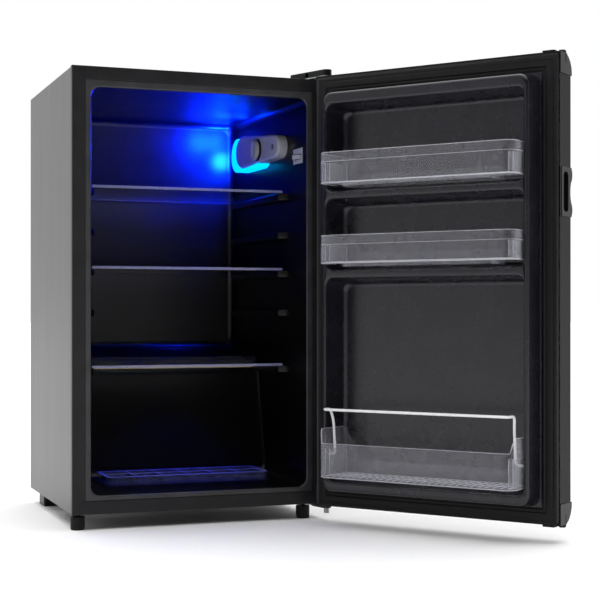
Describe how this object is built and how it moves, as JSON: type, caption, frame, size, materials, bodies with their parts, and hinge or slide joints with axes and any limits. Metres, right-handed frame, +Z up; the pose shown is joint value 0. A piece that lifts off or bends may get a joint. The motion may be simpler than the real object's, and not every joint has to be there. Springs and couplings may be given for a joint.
{
  "type": "mini fridge",
  "caption": "Black undercounter bar fridge, door open, with glass shelves, clear door racks, blue interior lamp and thermostat, reversible hinged door.",
  "frame": {"origin": "middle of the footprint of the whole fridge with its door standing open, at floor level", "axes": "+X to the right across the front, +Y from the front to the back, +Z up"},
  "size_m": [0.7802, 0.8626, 0.8431],
  "materials": {
    "black_steel": "satin black paint",
    "black_plastic": "semi-gloss black moulding",
    "liner_plastic": "gloss black formed sheet",
    "rubber": "matt black",
    "foam": "rigid foam",
    "bare_steel": "zinc plated",
    "aluminium": "rolled plate",
    "copper": "drawn tube",
    "glass": "clear toughened glass",
    "clear_plastic": "clear moulding",
    "white_wire": "white coated wire",
    "grey_plastic": "light grey moulding",
    "lamp_lens": "clear diffuser over a blue lamp",
    "circuit_board": "green board"
  },
  "bodies": {
    "cabinet": {"outer_wrapper": "black_steel", "rear_panel": "black_steel", "bottom_plate": "black_steel", "compressor": "black_steel", "lower_hinge_bracket": "black_steel", "front_frame": "black_plastic", "rear_foot_left": "black_plastic", "rear_foot_right": "black_plastic", "relay_cover": "black_plastic", "cord_gland": "black_plastic", "upper_hinge_cover": "black_plastic", "inner_liner": "liner_plastic", "compressor_grommet_1": "rubber", "compressor_grommet_2": "rubber", "compressor_grommet_3": "rubber", "compressor_grommet_4": "rubber", "insulation_foam": "foam", "compressor_rail": "bare_steel", "upper_hinge_bracket": "bare_steel", "upper_hinge_pin": "bare_steel", "lower_hinge_pin": "bare_steel", "lower_hinge_screw_1": "bare_steel", "lower_hinge_screw_2": "bare_steel", "housing_screw": "bare_steel", "thermostat_body": "bare_steel", "evaporator_plate": "aluminium", "condenser_coil": "copper", "filter_drier": "copper", "suction_pipe": "copper", "evaporation_tray": "grey_plastic", "thermostat_housing": "grey_plastic", "switch_plate": "grey_plastic", "lamp_lens": "lamp_lens", "lamp_board": "circuit_board"},
    "door": {"door_skin": "black_steel", "door_foam": "foam", "door_liner": "liner_plastic", "door_gasket": "rubber", "door_top_cap": "black_plastic", "door_bottom_cap": "black_plastic", "door_handle": "black_plastic", "upper_hinge_bush": "grey_plastic", "lower_hinge_bush": "grey_plastic", "top_hole_plug": "black_plastic", "bottom_hole_plug": "black_plastic"},
    "upper_rack": {"upper_rack": "clear_plastic"},
    "middle_rack": {"middle_rack": "clear_plastic"},
    "bottle_rack": {"bottle_rack": "clear_plastic"},
    "bottle_guard": {"bottle_guard": "white_wire"},
    "upper_shelf": {"upper_shelf": "glass", "upper_shelf_trim": "clear_plastic"},
    "middle_shelf": {"middle_shelf": "glass", "middle_shelf_trim": "clear_plastic"},
    "lower_shelf": {"lower_shelf": "glass", "lower_shelf_trim": "clear_plastic"},
    "cube_tray": {"cube_tray": "clear_plastic"},
    "thermostat_knob": {"thermostat_knob": "grey_plastic"},
    "switch_lever": {"switch_lever": "grey_plastic"},
    "front_foot_left": {"front_foot_left": "black_plastic"},
    "front_foot_right": {"front_foot_right": "black_plastic"}
  },
  "joints": [
    {"name": "door_hinge", "type": "hinge", "parent": "cabinet", "child": "door", "pos_m": [0.08287, -0.03272, 0.428], "axis": [0, 0, 1], "range_deg": [-127, 8]},
    {"name": "switch_lever_pivot", "type": "hinge", "parent": "cabinet", "child": "switch_lever", "pos_m": [0.0566, 0.02539, 0.685], "axis": [0, 0, 1], "range_deg": [-22.5, 2]},
    {"name": "thermostat_turn", "type": "hinge", "parent": "cabinet", "child": "thermostat_knob", "pos_m": [0.01604, 0.18567, 0.713], "axis": [0.9989, 0.0469, 0], "range_deg": [-135, 135]},
    {"name": "upper_shelf_slide", "type": "slide", "parent": "cabinet", "child": "upper_shelf", "axis": [0, -1, 0], "range_m": [0, 0.19]},
    {"name": "middle_shelf_slide", "type": "slide", "parent": "cabinet", "child": "middle_shelf", "axis": [0, -1, 0], "range_m": [0, 0.19]},
    {"name": "lower_shelf_slide", "type": "slide", "parent": "cabinet", "child": "lower_shelf", "axis": [0, -1, 0], "range_m": [0, 0.17]},
    {"name": "cube_tray_slide", "type": "slide", "parent": "cabinet", "child": "cube_tray", "axis": [0, -1, 0], "range_m": [0, 0.15]},
    {"name": "upper_rack_lift", "type": "slide", "parent": "door", "child": "upper_rack", "axis": [0, 0, 1], "range_m": [0, 0.02]},
    {"name": "middle_rack_lift", "type": "slide", "parent": "door", "child": "middle_rack", "axis": [0, 0, 1], "range_m": [0, 0.02]},
    {"name": "bottle_rack_lift", "type": "slide", "parent": "door", "child": "bottle_rack", "axis": [0, 0, 1], "range_m": [0, 0.02]},
    {"name": "bottle_guard_pivot", "type": "hinge", "parent": "bottle_rack", "child": "bottle_guard", "pos_m": [0.17278, -0.25671, 0.132], "axis": [-0.6018, 0.7986, 0], "range_deg": [0, 40]},
    {"name": "front_foot_left_thread", "type": "hinge", "parent": "cabinet", "child": "front_foot_left", "pos_m": [-0.37613, 0.01728, 0.014], "axis": [0, 0, 1], "continuous": true},
    {"name": "front_foot_right_thread", "type": "hinge", "parent": "cabinet", "child": "front_foot_right", "pos_m": [0.05387, 0.01728, 0.014], "axis": [0, 0, 1], "continuous": true}
  ],
  "couplings": [
    {"joint": "switch_lever_pivot", "follows": "door_hinge", "ratio": 0.1732}
  ]
}
